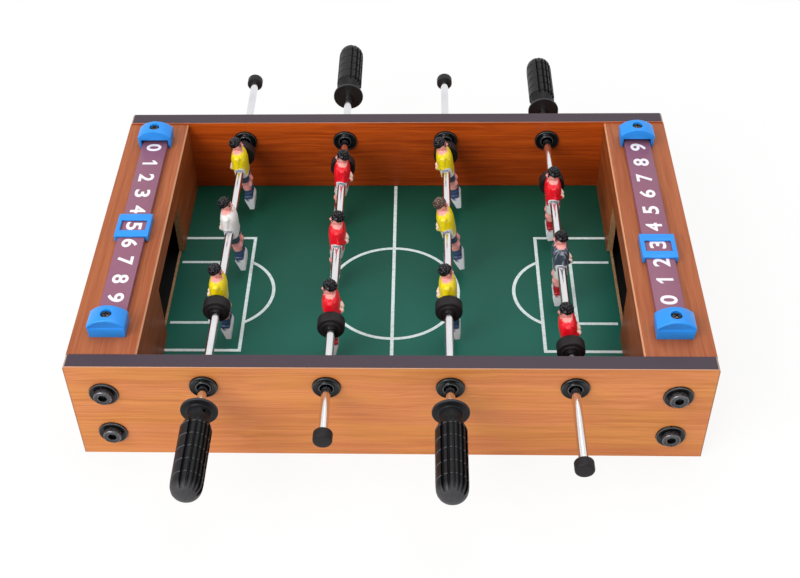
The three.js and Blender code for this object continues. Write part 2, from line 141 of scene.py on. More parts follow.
class Finish(Tree):
    """A material of one shader, with constant values for some of its sockets."""

    def __init__(self, name, **sockets):
        self.material = bpy.data.materials.new(name)
        super().__init__(self.material)
        self.shader = self.nodes["Principled BSDF"]
        for socket, value in sockets.items():
            self.shader.inputs[socket.replace("_", " ")].default_value = value
        self.coordinates = self.add("TexCoord").outputs
        self.place = self.coordinates["Object"]

    def at(self, axis, source="Object"):
        """The place on the piece along axis X, Y or Z, in metres."""
        return self.add("SeparateXYZ", {0: self.coordinates[source]}).outputs[axis]

    def facing(self, axis):
        """How much the surface faces along an axis, from -1 to 1."""
        return self.at(axis, "Normal")

    def above(self, value, edge, width):
        """0 below the edge and 1 above it, with a soft step of that width."""
        step = self.add("MapRange", {
            "Value": value, "From Min": edge - width / 2, "From Max": edge + width / 2,
        }, interpolation_type="SMOOTHSTEP")
        return step.outputs[0]

    def below(self, value, edge, width):
        return self.calc("SUBTRACT", 1, self.above(value, edge, width))

    def remap(self, value, low=0.0, high=1.0, start=0.0, end=1.0):
        """From low to high as the value goes from start to end."""
        return self.add("MapRange", {
            "Value": value, "From Min": start, "From Max": end, "To Min": low, "To Max": high,
        }).outputs[0]

    def noise(self, scale, stretch=(1, 1, 1), detail=3.0, roughness=0.5, shift=(0, 0, 0),
              place=None):
        spot = self.add("Mapping", {
            "Vector": place or self.place, "Scale": stretch, "Location": shift,
        }).outputs[0]
        texture = self.add("TexNoise", {
            "Vector": spot, "Scale": scale, "Detail": detail, "Roughness": roughness,
        })
        return texture.outputs[0]

    def ramp(self, value, stops):
        node = self.add("ValToRGB", {0: value})
        for element, (position, color) in zip(node.color_ramp.elements, stops):
            element.position = position
            element.color = color
        return node.outputs[0]

    def mix(self, share, first, second, blend="MIX"):
        node = self.add("Mix", {0: share, 6: first, 7: second}, data_type="RGBA", blend_type=blend)
        return node.outputs[2]

    def tinted(self, color, tint):
        return self.mix(1.0, color, tint, "MULTIPLY")

    def color(self, value):
        self.feed(self.shader.inputs["Base Color"], value)
        return self

    def rough(self, value):
        self.feed(self.shader.inputs["Roughness"], value)
        return self

    def bump(self, height, depth, strength):
        """Relief whose full height is depth, in millimetres."""
        node = self.add("Bump", {"Strength": strength, "Distance": depth * MM, "Height": height})
        self.links.new(node.outputs[0], self.shader.inputs["Normal"])
        return self


PLAIN = (1, 1, 1, 1)
GRAIN_DRIFT = 4
GRAIN_SPREAD = 0.1
STREAK_SHARE, LINE_SHARE, TONE_SHARE = 0.4, 0.44, 0.16


def grain(f, along, light, dark, contrast=1.0):
    """Wood grain that runs along axis 0 or 1: its colour, and its fine lines for the relief."""
    def layer(length, across, detail, roughness, shift, place):
        stretch = [across] * 3
        stretch[along] = length
        return f.noise(1.0, stretch, detail, roughness, shift, place)

    cloud = f.add("TexNoise", {"Vector": f.place, "Scale": 22.0, "Detail": 1.0}).outputs["Color"]
    drift = f.add("VectorMath", {0: cloud, "Scale": GRAIN_DRIFT * MM}, operation="SCALE").outputs[0]
    wavy = f.add("VectorMath", {0: f.place, 1: drift}, operation="ADD").outputs[0]
    streaks = layer(9, 340, 4.0, 0.62, (0, 0, 0), wavy)
    lines = layer(16, 900, 3.0, 0.6, (3, 1, 2), wavy)
    tone = layer(5, 40, 2.0, 0.5, (7, 5, 1), f.place)
    figure = f.plus(f.times(streaks, STREAK_SHARE), f.times(lines, LINE_SHARE))
    figure = f.plus(figure, f.times(tone, TONE_SHARE))
    spread = GRAIN_SPREAD / contrast
    return f.ramp(figure, [(0.5 - spread, dark), (0.5 + spread, light)]), lines


def raw_board(f):
    return f.ramp(f.noise(700, detail=4.0), [(0.3, srgb(150, 110, 76)), (0.7, srgb(194, 152, 110))])


def wooden(f, base, lines, smoothest=0.36, roughest=0.5):
    """The material with that colour and the gloss and relief of its grain."""
    return f.color(base).rough(f.remap(lines, smoothest, roughest)).bump(lines, 0.03, 0.35).material


BOARD_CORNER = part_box("playfield_board")[1]
WARM_AND_COOL = [(0.4, (1, 0.92, 1, 1)), (0.6, (1, 1, 0.8, 1))]
# Painted shade of the panels' insides where they meet the board
INSIDE_SHADE_AT_BOARD = (0.52, 0.46, 0.44, 1)
PAPER_EDGE = 0.55
RIM_THICKNESS = 0.12


def laminate_panel(name, outward):
    """A long panel: pale cherry grain outside, deeper grain inside with painted shade that darkens
    it towards the board, a dark rim and raw edges.
    """
    f = Finish(name, Specular_IOR_Level=0.3)
    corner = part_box(name)[1]
    outside, lines = grain(f, 0, srgb(214, 139, 79), srgb(191, 115, 58))
    slow = f.noise(1.0, (16, 60, 60), 2.0, 0.5, (2, 8, 4))
    outside = f.tinted(outside, f.ramp(slow, WARM_AND_COOL))
    seam = f.above(f.calc("ABSOLUTE", f.at("X")), corner.x - 0.5 * MM, 0.2 * MM)
    outside = f.mix(f.times(seam, 0.6), outside, srgb(104, 78, 66))
    inside, _ = grain(f, 0, srgb(216, 94, 22), srgb(170, 64, 8))
    # Painted shade: the inside grain darkens from the top edge down to the board.
    rise = f.remap(f.at("Z"), start=BOARD_CORNER.z, end=corner.z)
    inside = f.tinted(inside, f.mix(rise, INSIDE_SHADE_AT_BOARD, PLAIN))
    base = f.mix(f.above(f.times(f.facing("Y"), outward), 0.0, 0.2), inside, outside)
    rim = f.mix(f.noise(900, detail=2.0), srgb(68, 54, 64), srgb(58, 46, 56))
    base = f.mix(f.above(f.facing("Z"), 0.6, 0.2), base, rim)
    base = f.mix(f.above(f.times(f.facing("Z"), -1), 0.6, 0.2), base, srgb(176, 140, 100))
    base = f.mix(f.above(f.calc("ABSOLUTE", f.facing("X")), 0.7, 0.2), base, outside)
    paper = f.above(f.at("Z"), corner.z - PAPER_EDGE * MM, 0.1 * MM)
    paper = f.times(paper, f.calc("LESS_THAN", f.at("Z"), corner.z - RIM_THICKNESS * MM))
    paper = f.times(paper, f.below(f.facing("Z"), 0.9, 0.1))
    base = f.mix(f.times(paper, 0.55), base, srgb(226, 206, 190))
    return wooden(f, base, lines)


def end_laminate(name, inward):
    """A folded end cover: grain across the table, deeper on the goal wall and darker there partly
    as painted shade, a painted highlight along the fold, and raw cut edges.
    """
    f = Finish(name, Specular_IOR_Level=0.3)
    top, lines = grain(f, 1, srgb(172, 98, 58), srgb(150, 76, 38))
    # The goal wall's grain is deeper in tone, and darker partly as painted shade.
    wall, _ = grain(f, 1, srgb(168, 86, 40), srgb(120, 54, 20), 1.2)
    up = f.facing("Z")
    base = f.mix(f.above(f.times(f.facing("X"), inward), 0.5, 0.6), raw_board(f), wall)
    base = f.mix(f.above(up, 0.45, 0.3), base, top)
    # Painted highlight: a pale line along the fold between the top and the goal wall.
    fold_highlight = f.times(f.above(up, 0.2, 0.2), f.calc("LESS_THAN", up, 0.94))
    base = f.mix(f.times(fold_highlight, 0.75), base, srgb(224, 164, 126))
    return wooden(f, base, lines)


def end_frame_finish(name, outward):
    """The frame of an end box: laminate on its outer face, raw board, and black in the goal."""
    f = Finish(name, Specular_IOR_Level=0.3)
    outside, lines = grain(f, 1, srgb(206, 132, 76), srgb(182, 106, 52))
    low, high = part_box(name)
    outer = high.x if outward > 0 else -low.x
    reach = f.times(f.at("X"), outward)
    pocket = f.above(f.at("Z"), BOARD_CORNER.z - 5 * MM, MM)
    pocket = f.times(pocket, f.calc("LESS_THAN", reach, outer - 4 * MM))
    base = f.mix(pocket, raw_board(f), srgb(16, 15, 16))
    base = f.mix(f.above(reach, outer - 0.2 * MM, 0.1 * MM), base, outside)
    return wooden(f, base, lines, 0.4, 0.6)


BARE_EDGE = 1.6
# Where the field's painted shade begins, and its darkest tint at the back
FAR_SHADE_START = -45
FAR_PAINTED_SHADE = (0.37, 0.47, 0.36, 1)


def field_finish():
    """The green board, with painted shade that deepens towards the back, and bare edges and ends.
    """
    f = Finish("field_green", Specular_IOR_Level=0.2)
    speck = f.noise(2600, detail=2.0)
    base = f.mix(f.noise(14, detail=3.0), srgb(18, 88, 74), srgb(30, 108, 94))
    base = f.mix(f.times(speck, 0.3), base, srgb(10, 60, 46))
    # Painted shade: the green darkens towards the back of the field.
    back_shade = f.remap(f.at("Y"), start=FAR_SHADE_START * MM, end=BOARD_CORNER.y)
    base = f.tinted(base, f.mix(back_shade, PLAIN, FAR_PAINTED_SHADE))
    raw = raw_board(f)
    base = f.mix(f.above(f.facing("Z"), 0.5, 0.2), raw, base)
    bare = f.above(f.calc("ABSOLUTE", f.at("X")), BOARD_CORNER.x - BARE_EDGE * MM, 0.3 * MM)
    base = f.mix(bare, base, raw)
    return f.color(base).rough(f.remap(speck, 0.36, 0.5)).bump(speck, 0.02, 0.4).material


def printed_finish():
    f = Finish("printed_lines")
    wear = f.noise(420, detail=5.0)
    f.color(f.ramp(wear, [(0.3, srgb(192, 211, 208)), (0.55, srgb(220, 234, 234))]))
    return f.rough(f.remap(wear, 0.4, 0.55)).material


def around(f):
    """The distance from the piece's own Y axis."""
    x, z = f.at("X"), f.at("Z")
    return f.calc("SQRT", f.plus(f.times(x, x), f.times(z, z)))


def ringed(f, base, rings):
    """The colour with painted highlight and shade rings about the Y axis, as (inner radius, outer
    radius, share, colour).
    """
    for inner, outer, share, color in rings:
        radius = around(f)
        within, beyond = (f.above(radius, edge * MM, 0.2 * MM) for edge in (inner, outer))
        base = f.mix(f.times(f.calc("SUBTRACT", within, beyond), share), base, color)
    return base


def plastic(name, color, roughness, relief=0.02, speck=2200, contrast=0.12, gloss=0.5, rings=()):
    """Moulded plastic or rubber: a faint mottle of colour and a fine texture of the mould."""
    f = Finish(name, Specular_IOR_Level=gloss)
    fine = f.noise(speck, detail=3.0, roughness=0.6)
    mottled = f.mix(f.noise(260, detail=3.0), shaded(color, 1 - contrast), color)
    f.color(ringed(f, mottled, rings)).rough(f.remap(fine, roughness - 0.06, roughness + 0.08))
    return f.bump(fine, relief, 0.5).material


def steel(name, dark, bright, metal=0.9, rings=()):
    """Blackened steel that is worn brighter in patches."""
    f = Finish(name, Metallic=metal)
    worn = f.noise(1500, detail=3.0)
    f.color(ringed(f, f.ramp(worn, [(0.36, dark), (0.66, bright)]), rings))
    return f.rough(f.remap(worn, 0.2, 0.36)).bump(worn, 0.03, 0.4).material


def chrome_finish():
    f = Finish("rod_chrome", Metallic=1.0)
    drawn = f.noise(1.0, (2600, 14, 2600), 3.0)
    smear = f.noise(60, detail=3.0)
    f.color(f.mix(smear, srgb(214, 214, 218), srgb(238, 238, 240)))
    f.rough(f.plus(f.remap(drawn, 0.07, 0.16), f.times(smear, 0.05)))
    return f.bump(drawn, 0.004, 0.3).material


RING_START, RING_PITCH, RINGS = 14.0, 8.15, 5
# Painted highlight on the flange's rim
FLANGE_RIM_HIGHLIGHT = (9.8, 11, 0.3, srgb(92, 94, 98))
NECK_RADIUS = 7.5
DOME_FADE = 52.5


def grip_finish():
    """The grips' satin plastic, with painted shade in its ring grooves, painted highlights on the
    grooves' steps and the flange rim, and lighter scuffs towards the dome.
    """
    f = Finish("black_plastic", Specular_IOR_Level=0.15)
    mottle, fine = f.noise(260, detail=3.0), f.noise(2200, detail=3.0, roughness=0.6)
    base = ringed(f, f.mix(mottle, srgb(22, 22, 24), srgb(31, 31, 33)), [FLANGE_RIM_HIGHLIGHT])
    along = f.times(f.at("Y"), -1)
    off_ring = f.calc("PINGPONG", f.calc("SUBTRACT", along, RING_START * MM), RING_PITCH / 2 * MM)
    # Painted shade in the ring grooves.
    groove = f.above(around(f), NECK_RADIUS * MM, 0.2 * MM)
    groove = f.times(groove, f.below(off_ring, 0.5 * MM, 0.3 * MM))
    base = f.mix(groove, base, srgb(3, 3, 4))
    # Painted highlight on the step of each ring groove that faces the tip.
    edge = f.times(groove, f.above(f.times(f.facing("Y"), -1), 0.35, 0.3))
    base = f.mix(edge, base, srgb(84, 84, 88))
    scuffs = f.remap(f.above(fine, 0.52, 0.2), 0.5, 1.0)
    base = f.mix(f.times(f.above(along, DOME_FADE * MM, 5 * MM), scuffs), base, srgb(72, 72, 74))
    return f.color(base).rough(f.remap(fine, 0.32, 0.48)).bump(fine, 0.02, 0.5).material


BLACK_PLASTIC = grip_finish()
# Painted highlights: light rings on the bushing's flange rim and on its inner lip.
BUSHING_PLASTIC = plastic("bushing_plastic", srgb(12, 13, 15), 0.2, 0.01, gloss=0.26, rings=[
    (7.2, 7.5, 0.6, srgb(76, 78, 82)), (3.75, 4.1, 0.7, srgb(96, 98, 104))])
BLACK_RUBBER = plastic("black_rubber", srgb(32, 29, 31), 0.5, 0.04, 1500, 0.2, gloss=0.2)
BLUE_PLASTIC = plastic("blue_plastic", srgb(36, 146, 240), 0.34, 0.012, 1400, 0.08, gloss=0.4)
RAIL_MAUVE = plastic("rail_mauve", srgb(142, 92, 114), 0.4, 0.02, 1800, 0.1, gloss=0.3)
NUMBER_WHITE = plastic("number_white", srgb(240, 236, 240), 0.45, 0.01, 1800, 0.05)
CHROME = chrome_finish()
SCREW_STEEL = steel("screw_steel", srgb(24, 24, 28), srgb(96, 92, 90))
# Painted highlight: a light ring on the washer's rim.
WASHER_STEEL = steel("washer_steel", srgb(38, 38, 40), srgb(60, 59, 60), rings=[
    (7.6, 7.95, 0.6, srgb(120, 120, 124))])
# Painted shade in the hex socket, painted highlights round the socket and on the head's rim, and a
# darker ring between them.
BOLT_STEEL = steel("bolt_steel", srgb(26, 27, 30), srgb(96, 97, 102), 0.6, rings=[
    (0, 2.5, 0.9, srgb(8, 8, 9)), (2.7, 2.95, 0.5, srgb(108, 108, 112)),
    (3.3, 3.7, 0.5, srgb(24, 24, 26)), (4.45, 4.9, 0.6, srgb(122, 122, 128))])
PRINTED = printed_finish()

HAND_START = 4.5
PAINT_EDGE = 0.16
SLATE, SOCK_BLUE, SOCK_RED = srgb(66, 80, 100), srgb(54, 74, 110), srgb(176, 18, 34)
OFF_WHITE = srgb(228, 228, 228)
# The shirt, the shorts, the socks and the brush strokes on the shirt
KITS = {
    "yellow": (srgb(255, 230, 0), SLATE, SOCK_BLUE, srgb(255, 240, 120)),
    "white": (srgb(250, 249, 248), SLATE, SOCK_BLUE, srgb(250, 250, 250)),
    "red": (srgb(250, 8, 36), OFF_WHITE, SOCK_RED, srgb(246, 60, 70)),
    "grey": (srgb(62, 72, 88), OFF_WHITE, SOCK_RED, srgb(176, 184, 196)),
}
# The hair and the painted highlights on its curls
HAIR = {
    "black": (srgb(6, 5, 7), srgb(70, 70, 78)),
    "brown": (srgb(88, 66, 56), srgb(134, 112, 104)),
}


def player_finish(name, shirt, shorts, sock, brushed, hair, curl_highlight):
    """Painted figure. Each zone is where its attribute, in millimetres, is above zero."""
    f = Finish(name, Coat_Weight=0.15, Coat_Roughness=0.1)
    tone = f.noise(420, detail=4.0)
    waver = f.times(f.calc("SUBTRACT", f.noise(900, detail=2.0), 0.5), 0.35)

    def inside(attribute):
        return f.add("Attribute", attribute_name=attribute).outputs["Fac"]

    def zone(base, attribute, color, width=PAINT_EDGE):
        return f.mix(f.above(f.plus(inside(attribute), waver), 0.0, width), base, color)

    base = f.mix(tone, srgb(222, 225, 232), srgb(246, 247, 252))
    base = zone(base, "shorts", shorts)
    base = zone(base, "knee", f.mix(tone, srgb(244, 150, 144), srgb(255, 184, 178)))
    base = zone(base, "sock", sock, 0.8)
    cloth = f.mix(tone, shaded(shirt, 0.84), shirt)
    strokes = f.above(f.noise(1.0, (260, 900, 200), 2.0), 0.56, 0.1)
    base = zone(base, "shirt", f.mix(f.times(strokes, 0.55), cloth, brushed))
    flesh = f.mix(tone, srgb(244, 150, 142), srgb(255, 188, 180))
    at_hands = f.above(f.times(f.at("X"), -1), HAND_START * MM, 0.8 * MM)
    flesh = f.mix(at_hands, flesh, f.mix(tone, srgb(232, 196, 180), srgb(252, 226, 212)))
    base = zone(base, "skin", flesh)
    base = zone(base, "mouth", srgb(190, 70, 70))
    base = zone(base, "eye", srgb(20, 16, 18), 0.1)
    # Painted highlights: light specks on the curls of the hair.
    highlight_specks = f.above(f.noise(1000, detail=2.0), 0.58, 0.1)
    locks = f.mix(f.noise(1100, detail=3.0), shaded(hair, 0.5), hair)
    base = zone(base, "hair", f.mix(highlight_specks, locks, curl_highlight))
    on_hair = f.above(inside("hair"), 0.0, 0.3)
    curls = f.times(f.noise(1000, detail=2.0), f.times(on_hair, 2.2))
    f.feed(f.shader.inputs["Specular IOR Level"], f.remap(on_hair, 0.4, 0.1))
    f.color(base).rough(f.times(f.remap(tone, 0.24, 0.4), f.remap(on_hair, 1.0, 0.5)))
    return f.bump(f.plus(curls, f.times(tone, 0.3)), 0.3, 0.8).material


PLAYER_FINISHES = {
    (kit, hair): player_finish(f"player_{kit}_{hair}", *KITS[kit], *HAIR[hair])
    for kit, hair in [*((kit, "black") for kit in KITS), ("yellow", "brown")]
}


# Building meshes, in millimetres

SMOOTH_ANGLE = 38
SAME_POINT = 1e-7


def linked(name, data):
    """A new object with that data, in the scene."""
    obj = bpy.data.objects.new(name, data)
    bpy.context.scene.collection.objects.link(obj)
    return obj


def tidied(mesh, shape, smooth_angle):
    """Fills the mesh with the shape, joined where points meet, with its faces turned outwards."""
    bmesh.ops.remove_doubles(shape, verts=shape.verts, dist=SAME_POINT)
    bmesh.ops.recalc_face_normals(shape, faces=shape.faces)
    shape.to_mesh(mesh)
    shape.free()
    smooth(mesh, smooth_angle)
    return mesh


def mesh_of(name, vertices, faces, smooth_angle=SMOOTH_ANGLE):
    mesh = bpy.data.meshes.new(name)
    mesh.from_pydata([tuple(c * MM for c in v) for v in vertices], [], faces)
    shape = bmesh.new()
    shape.from_mesh(mesh)
    return tidied(mesh, shape, smooth_angle)


def smooth(mesh, angle):
    mesh.polygons.foreach_set("use_smooth", [True] * len(mesh.polygons))
    mesh.set_sharp_from_angle(angle=math.radians(angle))


def rows_mesh(name, rows, closed=False, smooth_angle=SMOOTH_ANGLE):
    """A skin through rows that have as many points each. Open ends get a face."""
    count = len(rows[0])
    vertices = [p for row in rows for p in row]
    faces = []
    for r in range(len(rows) if closed else len(rows) - 1):
        a, b = r * count, (r + 1) % len(rows) * count
        for k in range(count):
            n = (k + 1) % count
            faces.append((a + k, a + n, b + n, b + k))
    if not closed:
        faces.append(tuple(range(count))[::-1])
        faces.append(tuple(range((len(rows) - 1) * count, len(rows) * count)))
    return mesh_of(name, vertices, faces, smooth_angle)


def circle(radius, y, segments=64, shape=None):
    """A ring of points about the Y axis. shape(angle) may scale the radius."""
    points = []
    for k in range(segments):
        a = 2 * math.pi * k / segments
        r = radius * (shape(a) if shape else 1)
        points.append((r * math.sin(a), y, r * math.cos(a)))
    return points


def turned(name, profile, segments=64, closed=False):
    """A body turned about the Y axis from (radius, y) points."""
    return rows_mesh(name, [circle(r, y, segments) for r, y in profile], closed)


def upright(mesh):
    """The turned mesh with its axis along Z."""
    mesh.transform(turn(90, "X"))
    return mesh


def unit(vector):
    return vector / np.linalg.norm(vector)


def rounded(corner, before, after, radius, steps=4):
    """Points of a fillet of that radius at a corner of a profile."""
    c, b, a = (np.array(p, float) for p in (corner, before, after))
    start, end = c + unit(b - c) * radius, c + unit(a - c) * radius
    shares = [k / steps for k in range(steps + 1)]
    return [tuple((1 - t) ** 2 * start + 2 * t * (1 - t) * c + t ** 2 * end) for t in shares]


def softened(profile, radii):
    """The profile with its corners rounded, each by its own radius; 0 leaves a corner."""
    points = []
    for k, (corner, radius) in enumerate(zip(profile, radii)):
        if radius:
            points += rounded(corner, profile[k - 1], profile[(k + 1) % len(profile)], radius)
        else:
            points.append(corner)
    return points


def piece(name, mesh, matrix, body, finish, replaced=None):
    """Puts a mesh in place as a piece of the object and hides the CAD part that it replaces."""
    mesh.materials.clear()
    mesh.materials.append(finish)
    obj = linked(name, mesh)
    obj.matrix_world = matrix
    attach(obj, body)
    if replaced:
        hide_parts(replaced)


def spot(x, y, z):
    return Matrix.Translation((x, y, z))


def turn(degrees, axis):
    return Matrix.Rotation(math.radians(degrees), 4, axis)


def half_turn(flip):
    """Half a turn about Z if flip is true."""
    return turn(180 if flip else 0, "Z")


def centre(node):
    low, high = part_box(node)
    return (low + high) / 2


def bevel(obj, width, angle):
    """Bevels the object's edges that are sharper than the angle."""
    made = obj.modifiers.new("edges", "BEVEL")
    made.width = width * MM
    made.segments = 2
    made.limit_method = "ANGLE"
    made.angle_limit = math.radians(angle)


def softened_solid(mesh, width):
    """The mesh with its edges bevelled, as a new mesh."""
    holder = linked("holder", mesh)
    bevel(holder, width, 30)
    return applied(holder)


def applied(holder):
    """The evaluated mesh of a scratch object, which is then removed."""
    graph = bpy.context.evaluated_depsgraph_get()
    name = holder.data.name
    made = bpy.data.meshes.new_from_object(holder.evaluated_get(graph))
    bpy.data.objects.remove(holder)
    made.name = name
    smooth(made, SMOOTH_ANGLE)
    return made


def block(name, x, y, z):
    """A box between pairs of values."""
    vertices = [(a, b, c) for c in z for b in y for a in x]
    faces = [(0, 2, 3, 1), (4, 5, 7, 6), (0, 1, 5, 4), (1, 3, 7, 5), (3, 2, 6, 7), (2, 0, 4, 6)]
    return mesh_of(name, vertices, faces)


def carved(name, body, cutters, width):
    """A mesh with others cut out of it, and its edges bevelled."""
    holder = linked("holder", body)
    tools = [linked("tool", cutter) for cutter in cutters]
    for tool in tools:
        cut = holder.modifiers.new("cut", "BOOLEAN")
        cut.operation = "DIFFERENCE"
        cut.solver = "EXACT"
        cut.object = tool
    made = applied(holder)
    for tool in tools:
        bpy.data.objects.remove(tool)
    made.name = name
    return softened_solid(made, width) if width else made


# Cabinet boards keep their CAD shape, with softened edges and their finishes

def dress(node, material, width):
    obj = frame["nodes"][node]
    obj.data.materials.clear()
    obj.data.materials.append(material)
    bevel(obj, width, 40)


for side, sign in LONG_SIDES.items():
    dress(f"{side}_panel", laminate_panel(f"{side}_panel", sign), 0.35)
for end, sign in ENDS.items():
    dress(f"goal_cover_{end}", end_laminate(f"goal_cover_{end}", -sign), 0.45)
    dress(f"end_frame_{end}", end_frame_finish(f"end_frame_{end}", sign), 0.3)
dress("playfield_board", field_finish(), 0.1)


# Printed lines of the field

LINE_WIDTH = 2.0
# How high the lines stand, and the arcs that cross them
INK, OVERPRINT = 0.05, 0.07
OUTER_BOX, INNER_BOX = (90.0, 50.0), (110.5, 27.0)
ARC_CENTRE, ARC_RADIUS = 104.5, 30.5
CENTRE_CIRCLE = 40.0


def field_lines():
    middle = centre("playfield_board")
    half_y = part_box("goal_cover_left")[1].y / MM - middle.y / MM
    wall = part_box("goal_cover_right")[0].x / MM
    vertices, faces = [], []

    def across(direction):
        return unit(np.array([-direction[1], direction[0]]))

    def strip(path, ink=INK):
        """A printed line along a path of points, as a thin closed body with mitred corners."""
        base = len(vertices)
        path = [np.array(p, float) for p in path]
        for k, p in enumerate(path):
            a, b = path[max(k - 1, 0)], path[min(k + 1, len(path) - 1)]
            if 0 < k < len(path) - 1:
                normal = across(unit(p - a) + unit(b - p))
                normal /= max(0.3, abs(normal @ across(p - a)))
            else:
                normal = across(b - a)
            left, right = p - normal * LINE_WIDTH / 2, p + normal * LINE_WIDTH / 2
            vertices.extend([(*left, -INK), (*right, -INK), (*right, ink), (*left, ink)])
        end = len(vertices) - 4
        for row in range(base, end, 4):
            for k, n in ((0, 1), (1, 2), (2, 3), (3, 0)):
                faces.append((row + k, row + n, row + 4 + n, row + 4 + k))
        faces.append((base + 3, base + 2, base + 1, base))
        faces.append((end, end + 1, end + 2, end + 3))

    strip([(0, -half_y), (0, -CENTRE_CIRCLE)])
    strip([(0, -CENTRE_CIRCLE), (0, CENTRE_CIRCLE)])
    strip([(0, CENTRE_CIRCLE), (0, half_y)])
    for side in (-1, 1):
        for x, y in (OUTER_BOX, INNER_BOX):
            strip([(side * wall, -y), (side * x, -y), (side * x, y), (side * wall, y)])
        swing = math.acos((ARC_CENTRE - OUTER_BOX[0]) / ARC_RADIUS)
        arc = [swing * (2 * k / 32 - 1) for k in range(33)]
        strip([(side * (ARC_CENTRE - ARC_RADIUS * math.cos(a)), ARC_RADIUS * math.sin(a))
               for a in arc], OVERPRINT)
    for half in (0, math.pi):
        arc = [half + math.pi * k / 40 for k in range(41)]
        strip([(CENTRE_CIRCLE * math.sin(a), CENTRE_CIRCLE * math.cos(a)) for a in arc], OVERPRINT)
    mesh = mesh_of("field_lines", vertices, faces)
    place = spot(middle.x, middle.y, BOARD_CORNER.z)
    piece("field_lines", mesh, place, "cabinet", PRINTED)


field_lines()


# Bolts, bushings, bumpers, caps and bars

def hexagon(angle):
    """The radius of a hexagon round, as a share of its corners' radius."""
    sector = math.radians(60)
    return math.cos(sector / 2) / math.cos((angle % sector) - sector / 2)


def washer_mesh():
    """A cupped washer for a panel's face at y = 0."""
    return turned("bolt_washer", [
        (3.0, 0.0), (8.0, 0.0), (8.15, -0.35), (7.9, -1.1),
        (7.3, -1.45), (6.6, -1.3), (5.9, -0.9), (3.0, -0.9),
    ], closed=True)


def bolt_head_mesh():
    """A low domed head with a hex socket, for a panel's face at y = 0."""
    dome = [(2.9, 0.0), (2.9, -0.85), (4.9, -0.85), (5.1, -1.1), (5.1, -3.4),
            (4.85, -4.0), (4.4, -4.3), (3.6, -4.2), (2.8, -4.0)]
    socket = [(2.55, -3.9), (2.4, -3.6), (2.35, -1.9)]
    rows = [circle(r, y) for r, y in dome] + [circle(r, y, shape=hexagon) for r, y in socket]
    return rows_mesh("bolt_head", [*rows, circle(1.2, -1.6)])


def bushing_mesh():
    """A bushing through the board, with a flange on each face."""
    outer = [(4.7, -0.15), (7.75, -0.15), (7.75, -0.8), (7.5, -1.4), (7.15, -1.6), (6.75, -1.4),
             (6.2, -1.0), (4.6, -0.95), (4.3, -1.5), (3.95, -1.7), (3.6, -1.6), (3.35, -1.0),
             (2.85, 0.6)]
    low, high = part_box("front_panel")
    inner = [(r, (high.y - low.y) / MM - y) for r, y in reversed(outer)]
    return turned("bushing", outer + inner, closed=True)


def panel_matrix(node, side, sign):
    """Puts a fitting made for the near panel on either panel's outer face."""
    mid = centre(node)
    return spot(mid.x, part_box(f"{side}_panel")[sign > 0].y, mid.z) @ half_turn(sign > 0)


WASHER, BOLT_HEAD, BUSHING = washer_mesh(), bolt_head_mesh(), bushing_mesh()

for side, sign in LONG_SIDES.items():
    for end in ENDS:
        for level in ("lower", "upper"):
            node = f"bolt_{side}_{end}_{level}"
            matrix = panel_matrix(node, side, sign)
            twist = turn(17 * len(end) + 11 * len(level) + 23 * sign, "Y")
            piece(f"{node}_washer", WASHER.copy(), matrix, "cabinet", WASHER_STEEL)
            piece(f"{node}_head", BOLT_HEAD.copy(), matrix @ twist, "cabinet",
                  BOLT_STEEL, node)
    for n in RODS:
        node = f"bushing_{side}_{n}"
        matrix = panel_matrix(node, side, sign)
        piece(f"{node}_moulded", BUSHING.copy(), matrix, "cabinet",
              BUSHING_PLASTIC, node)


def bar_mesh(length):
    return turned("bar", [
        (0.0, 0.0), (2.1, 0.0), (2.5, 0.4), (2.5, length - 0.4), (2.1, length), (0.0, length),
    ], 48)


def bumper_mesh():
    """Rubber bumper from y = 0, at the player, to its collar."""
    profile = [(2.55, 0.0), (7.5, 0.0), (7.75, 0.25), (7.75, 6.6), (5.7, 6.75), (5.5, 7.6),
               (4.5, 7.6), (4.2, 7.0), (3.6, 7.0), (3.4, 7.55), (2.55, 7.6)]
    return turned("bumper", softened(profile, [0, 0, 0, 0.9, 0, 0.3, 0.3, 0, 0, 0, 0]), closed=True)


def cap_mesh():
    """Rubber end cap: open at y = 0 where the rod enters, closed at its far end."""
    profile = [(0, 4.4), (2.55, 4.4), (2.55, 0), (4.8, 0), (5.15, 0.4), (5.15, 6.0), (0, 6.0)]
    return turned("cap", softened(profile, [0, 0, 0, 0, 0.3, 1.3, 0]), 56)


GRIP_RADIUS, GRIP_CORE = 8.3, 6.8
HANDLE_LENGTH, DOME = 57.0, 7.5
HANDLE_BORE, BORE_DEPTH = 2.6, 40.0
HANDLE_SMOOTH_ANGLE = 32
FLUTE_PITCH, FLUTE_COUNT = 2.5, 6
# Offsets from a flute's middle, and whether the grip is cut there
FLUTE = ((-0.725, 0), (-0.545, 1), (0.545, 1), (0.725, 0), (1.075, 0), (1.425, 0))
# The flange and the neck, and a ring groove, as rows of y, radius and depth of the flutes
NECK = [
    (0.0, 9.2, 0), (0.0, 9.7, 0), (-0.3, 10.0, 0), (-1.3, 10.0, 0), (-1.6, 9.7, 0), (-1.75, 6.9, 0),
    (-2.3, 6.3, 0), (-6.6, 6.15, 0), (-8.4, 6.4, 0), (-10.0, 7.0, 0), (-11.6, 7.6, 0.3),
    (-12.6, 8.0, 0.9), (-13.4, 8.2, 1.3),
]
RING_PROFILE = ((0.55, 0.12), (0.2, -0.35), (-0.2, -0.35), (-0.6, 0.12))
# How far round the dome, and how much of the flutes' depth is left
DOME_STEPS = ((0, 1), (0.15, 0.95), (0.3, 0.8), (0.42, 0.6), (0.52, 0.3), (0.58, 0), (0.7, 0),
              (0.82, 0), (0.92, 0), (0.98, 0))


